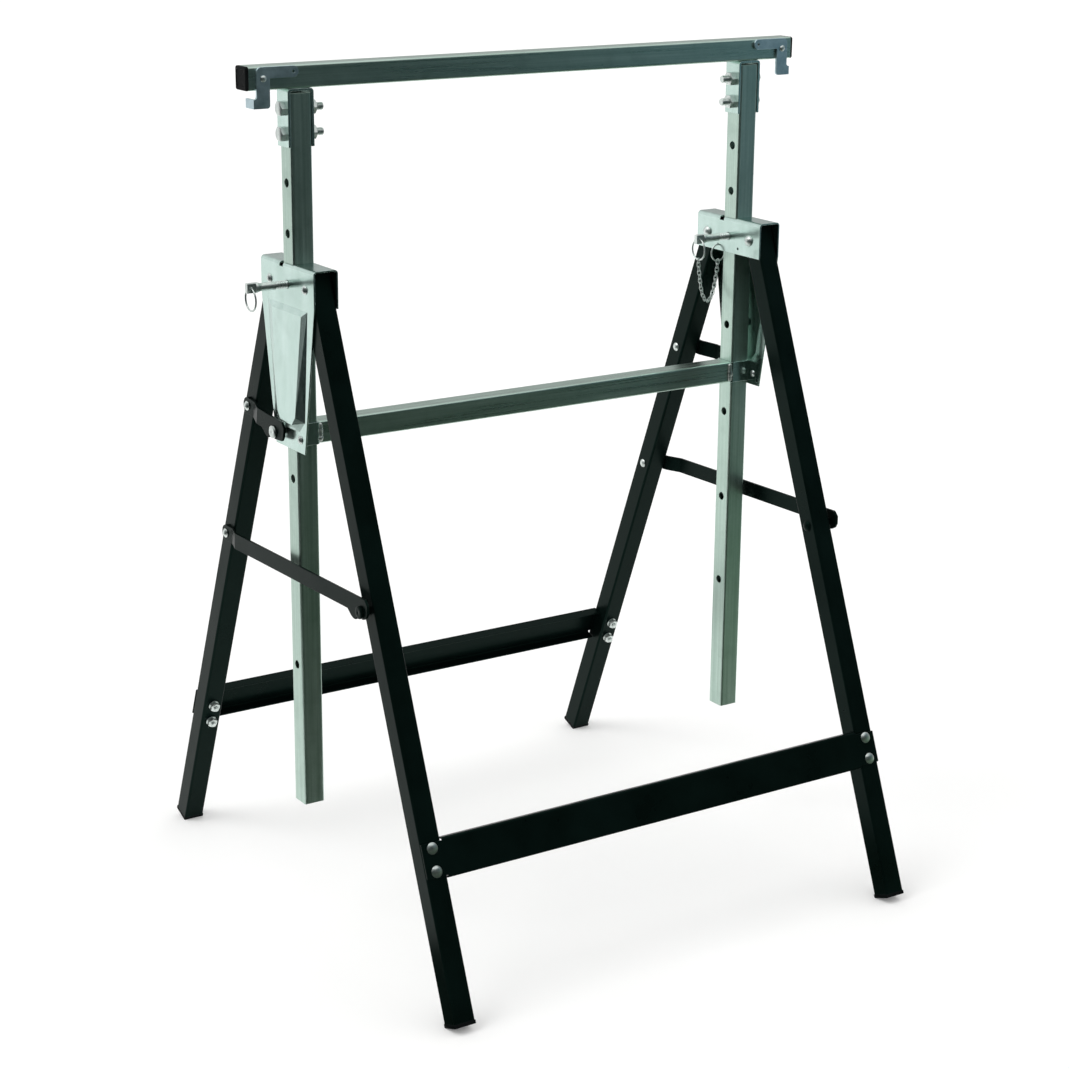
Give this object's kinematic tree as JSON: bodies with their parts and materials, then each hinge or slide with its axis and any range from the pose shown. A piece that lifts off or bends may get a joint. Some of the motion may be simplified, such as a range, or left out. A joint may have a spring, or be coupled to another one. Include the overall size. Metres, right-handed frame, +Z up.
{
  "type": "builders trestle",
  "caption": "Folding steel builders trestle: zinc plated telescopic bar with lock pins and end stops on black A-frame legs with hook-on struts.",
  "frame": {"origin": "on the floor under the middle of the bar, with the bar at 900 mm", "axes": "+X along the bar to the right, -Y to the front, +Z up"},
  "size_m": [0.665, 0.6322, 0.9],
  "materials": {
    "zinc_plate": "zinc plated",
    "bright_zinc": "bright zinc",
    "black_paint": "semi-gloss",
    "black_plastic": "moulded"
  },
  "bodies": {
    "head_frame": {"left_head": "zinc_plate", "right_head": "zinc_plate", "cross_beam": "zinc_plate", "left_guide_collar": "zinc_plate", "right_guide_collar": "zinc_plate", "collar_rivets": "bright_zinc", "leg_pivot_rivets": "bright_zinc", "cheek_pegs": "bright_zinc", "chain_anchor_ring": "bright_zinc", "safety_chain": "bright_zinc"},
    "rear_legs": {"rear_left_leg": "black_paint", "rear_right_leg": "black_paint", "rear_left_foot": "black_plastic", "rear_right_foot": "black_plastic", "rear_rail": "black_paint", "rear_rail_bolts": "bright_zinc", "rear_rail_nuts": "bright_zinc", "link_rivets": "bright_zinc"},
    "front_legs": {"front_left_leg": "black_paint", "front_right_leg": "black_paint", "front_left_foot": "black_plastic", "front_right_foot": "black_plastic", "front_rail": "black_paint", "front_rail_bolts": "bright_zinc", "front_rail_nuts": "bright_zinc", "leg_pegs": "black_paint"},
    "left_long_link": {"left_long_link": "black_paint"},
    "right_long_link": {"right_long_link": "black_paint"},
    "left_short_link": {"left_short_link": "black_paint"},
    "right_short_link": {"right_short_link": "black_paint"},
    "mast": {"top_bar": "zinc_plate", "left_end_cap": "black_plastic", "right_end_cap": "black_plastic", "left_saddle": "zinc_plate", "right_saddle": "zinc_plate", "left_upright": "zinc_plate", "right_upright": "zinc_plate", "saddle_bolts": "bright_zinc", "saddle_nuts": "bright_zinc", "stop_rivets": "bright_zinc"},
    "left_stop": {"left_end_stop": "zinc_plate"},
    "right_stop": {"right_end_stop": "zinc_plate"},
    "left_pin": {"left_lock_pin": "bright_zinc", "left_pin_ring": "bright_zinc"},
    "right_pin": {"right_lock_pin": "bright_zinc", "right_pin_ring": "bright_zinc"}
  },
  "joints": [
    {"name": "rear_fold", "type": "hinge", "parent": "head_frame", "child": "rear_legs", "pos_m": [0, 0.0375, 0.685], "axis": [-1, 0, 0], "range_deg": [0, 17.5]},
    {"name": "front_fold", "type": "hinge", "parent": "head_frame", "child": "front_legs", "pos_m": [0, -0.0375, 0.685], "axis": [1, 0, 0], "range_deg": [0, 17.5]},
    {"name": "left_long_unhook", "type": "hinge", "parent": "rear_legs", "child": "left_long_link", "pos_m": [-0.274, 0.15441, 0.3882], "axis": [-1, 0, 0], "range_deg": [0, 52.5]},
    {"name": "left_short_unhook", "type": "hinge", "parent": "rear_legs", "child": "left_short_link", "pos_m": [-0.274, 0.09394, 0.54172], "axis": [-1, 0, 0], "range_deg": [0, 80.5]},
    {"name": "right_long_unhook", "type": "hinge", "parent": "rear_legs", "child": "right_long_link", "pos_m": [0.274, 0.15441, 0.3882], "axis": [-1, 0, 0], "range_deg": [0, 52.5]},
    {"name": "right_short_unhook", "type": "hinge", "parent": "rear_legs", "child": "right_short_link", "pos_m": [0.274, 0.09394, 0.54172], "axis": [-1, 0, 0], "range_deg": [0, 80.5]},
    {"name": "height_slide", "type": "slide", "parent": "head_frame", "child": "mast", "axis": [0, 0, 1], "range_m": [-0.1, 0.4]},
    {"name": "left_stop_turn", "type": "hinge", "parent": "mast", "child": "left_stop", "pos_m": [-0.3155, -0.0115, 0.8885], "axis": [0, 1, 0], "range_deg": [0, 180]},
    {"name": "right_stop_turn", "type": "hinge", "parent": "mast", "child": "right_stop", "pos_m": [0.3155, -0.0115, 0.8885], "axis": [0, -1, 0], "range_deg": [0, 180]},
    {"name": "left_pin_slide", "type": "slide", "parent": "head_frame", "child": "left_pin", "axis": [1, 0, 0], "range_m": [0, 0.0275]},
    {"name": "right_pin_slide", "type": "slide", "parent": "head_frame", "child": "right_pin", "axis": [1, 0, 0], "range_m": [0, 0.0275], "deforming": ["safety_chain"]}
  ],
  "couplings": [
    {"joint": "front_fold", "follows": "rear_fold", "ratio": 1},
    {"joint": "left_long_unhook", "follows": "rear_fold", "ratio": 3},
    {"joint": "left_short_unhook", "follows": "rear_fold", "ratio": 4.6},
    {"joint": "right_long_unhook", "follows": "rear_fold", "ratio": 3},
    {"joint": "right_short_unhook", "follows": "rear_fold", "ratio": 4.6}
  ]
}
